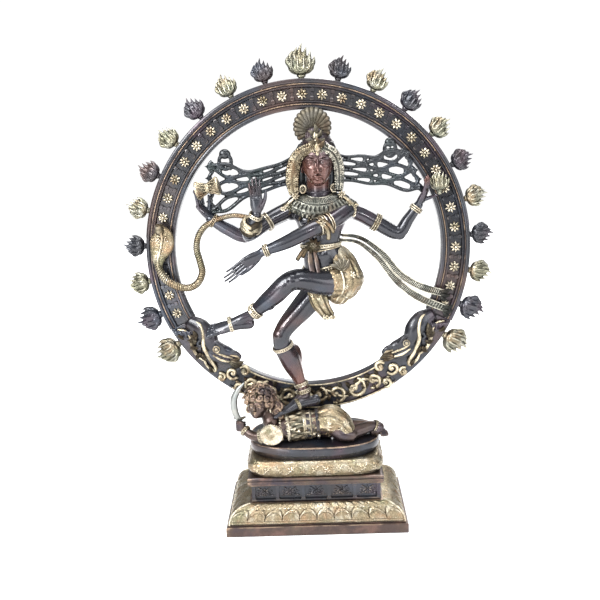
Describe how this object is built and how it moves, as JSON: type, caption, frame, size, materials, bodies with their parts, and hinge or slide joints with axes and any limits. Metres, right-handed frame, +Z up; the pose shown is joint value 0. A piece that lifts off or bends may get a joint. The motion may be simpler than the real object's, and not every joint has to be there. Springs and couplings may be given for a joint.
{
  "type": "brass nataraja statue",
  "caption": "Four-armed dancing figure on one leg inside an oval ring of flames, standing on a prone dwarf, an oval slab and a stepped rectangular pedestal.",
  "frame": {"origin": "centre of the plinth's underside, at the bottom centre of the bounding box", "axes": "+Z up, -Y towards the viewer the statue faces, +X to that viewer's right; the ring lies in an XZ plane"},
  "size_m": [0.5912, 0.16, 0.76],
  "materials": {
    "dark_patina": "oxidised near-black patina with a semi-gloss polish and brown rub-through on the edges",
    "antique_brass": "polished antique brass with dark oxide left in the recesses",
    "olive_brass": "half-darkened greenish brass, bright only on the highest relief",
    "aged_bronze": "brown aged brass, brighter on the raised work",
    "steel": "silvery worn metal"
  },
  "bodies": {
    "root": {"plinth": "aged_bronze", "neck": "dark_patina", "cornice": "aged_bronze", "cushion": "antique_brass", "slab": "dark_patina", "arch_tenon": "dark_patina", "flame_arch": "dark_patina", "scroll_band": "dark_patina", "makara_right": "aged_bronze", "makara_left": "aged_bronze", "flame_01": "olive_brass", "flame_02": "dark_patina", "flame_03": "olive_brass", "flame_04": "dark_patina", "flame_05": "olive_brass", "flame_06": "dark_patina", "flame_07": "olive_brass", "flame_08": "dark_patina", "flame_09": "olive_brass", "flame_10": "dark_patina", "flame_11": "olive_brass", "flame_12": "dark_patina", "flame_13": "olive_brass", "flame_14": "dark_patina", "flame_15": "olive_brass", "flame_16": "dark_patina", "flame_17": "olive_brass", "flame_18": "dark_patina", "flame_19": "olive_brass", "flame_20": "dark_patina", "flame_21": "olive_brass", "torso": "dark_patina", "head": "dark_patina", "hair_cap": "dark_patina", "headdress": "antique_brass", "collar": "olive_brass", "raised_leg": "dark_patina", "standing_leg": "dark_patina", "hip_cloth": "antique_brass", "loin_tail": "antique_brass", "front_left_arm": "dark_patina", "front_right_arm": "dark_patina", "rear_left_arm": "dark_patina", "rear_right_arm": "dark_patina", "crown_fan": "aged_bronze", "drum": "antique_brass", "hand_flame": "olive_brass", "hair_left": "dark_patina", "hair_right": "dark_patina", "sash_lower": "olive_brass", "sash_upper": "olive_brass", "cobra": "antique_brass", "dwarf_body": "aged_bronze", "dwarf_head": "aged_bronze", "dwarf_shield": "antique_brass", "dwarf_sword": "steel", "arch_bolt": "steel", "dwarf_left_bolt": "steel", "dwarf_right_bolt": "steel"}
  },
  "joints": []
}
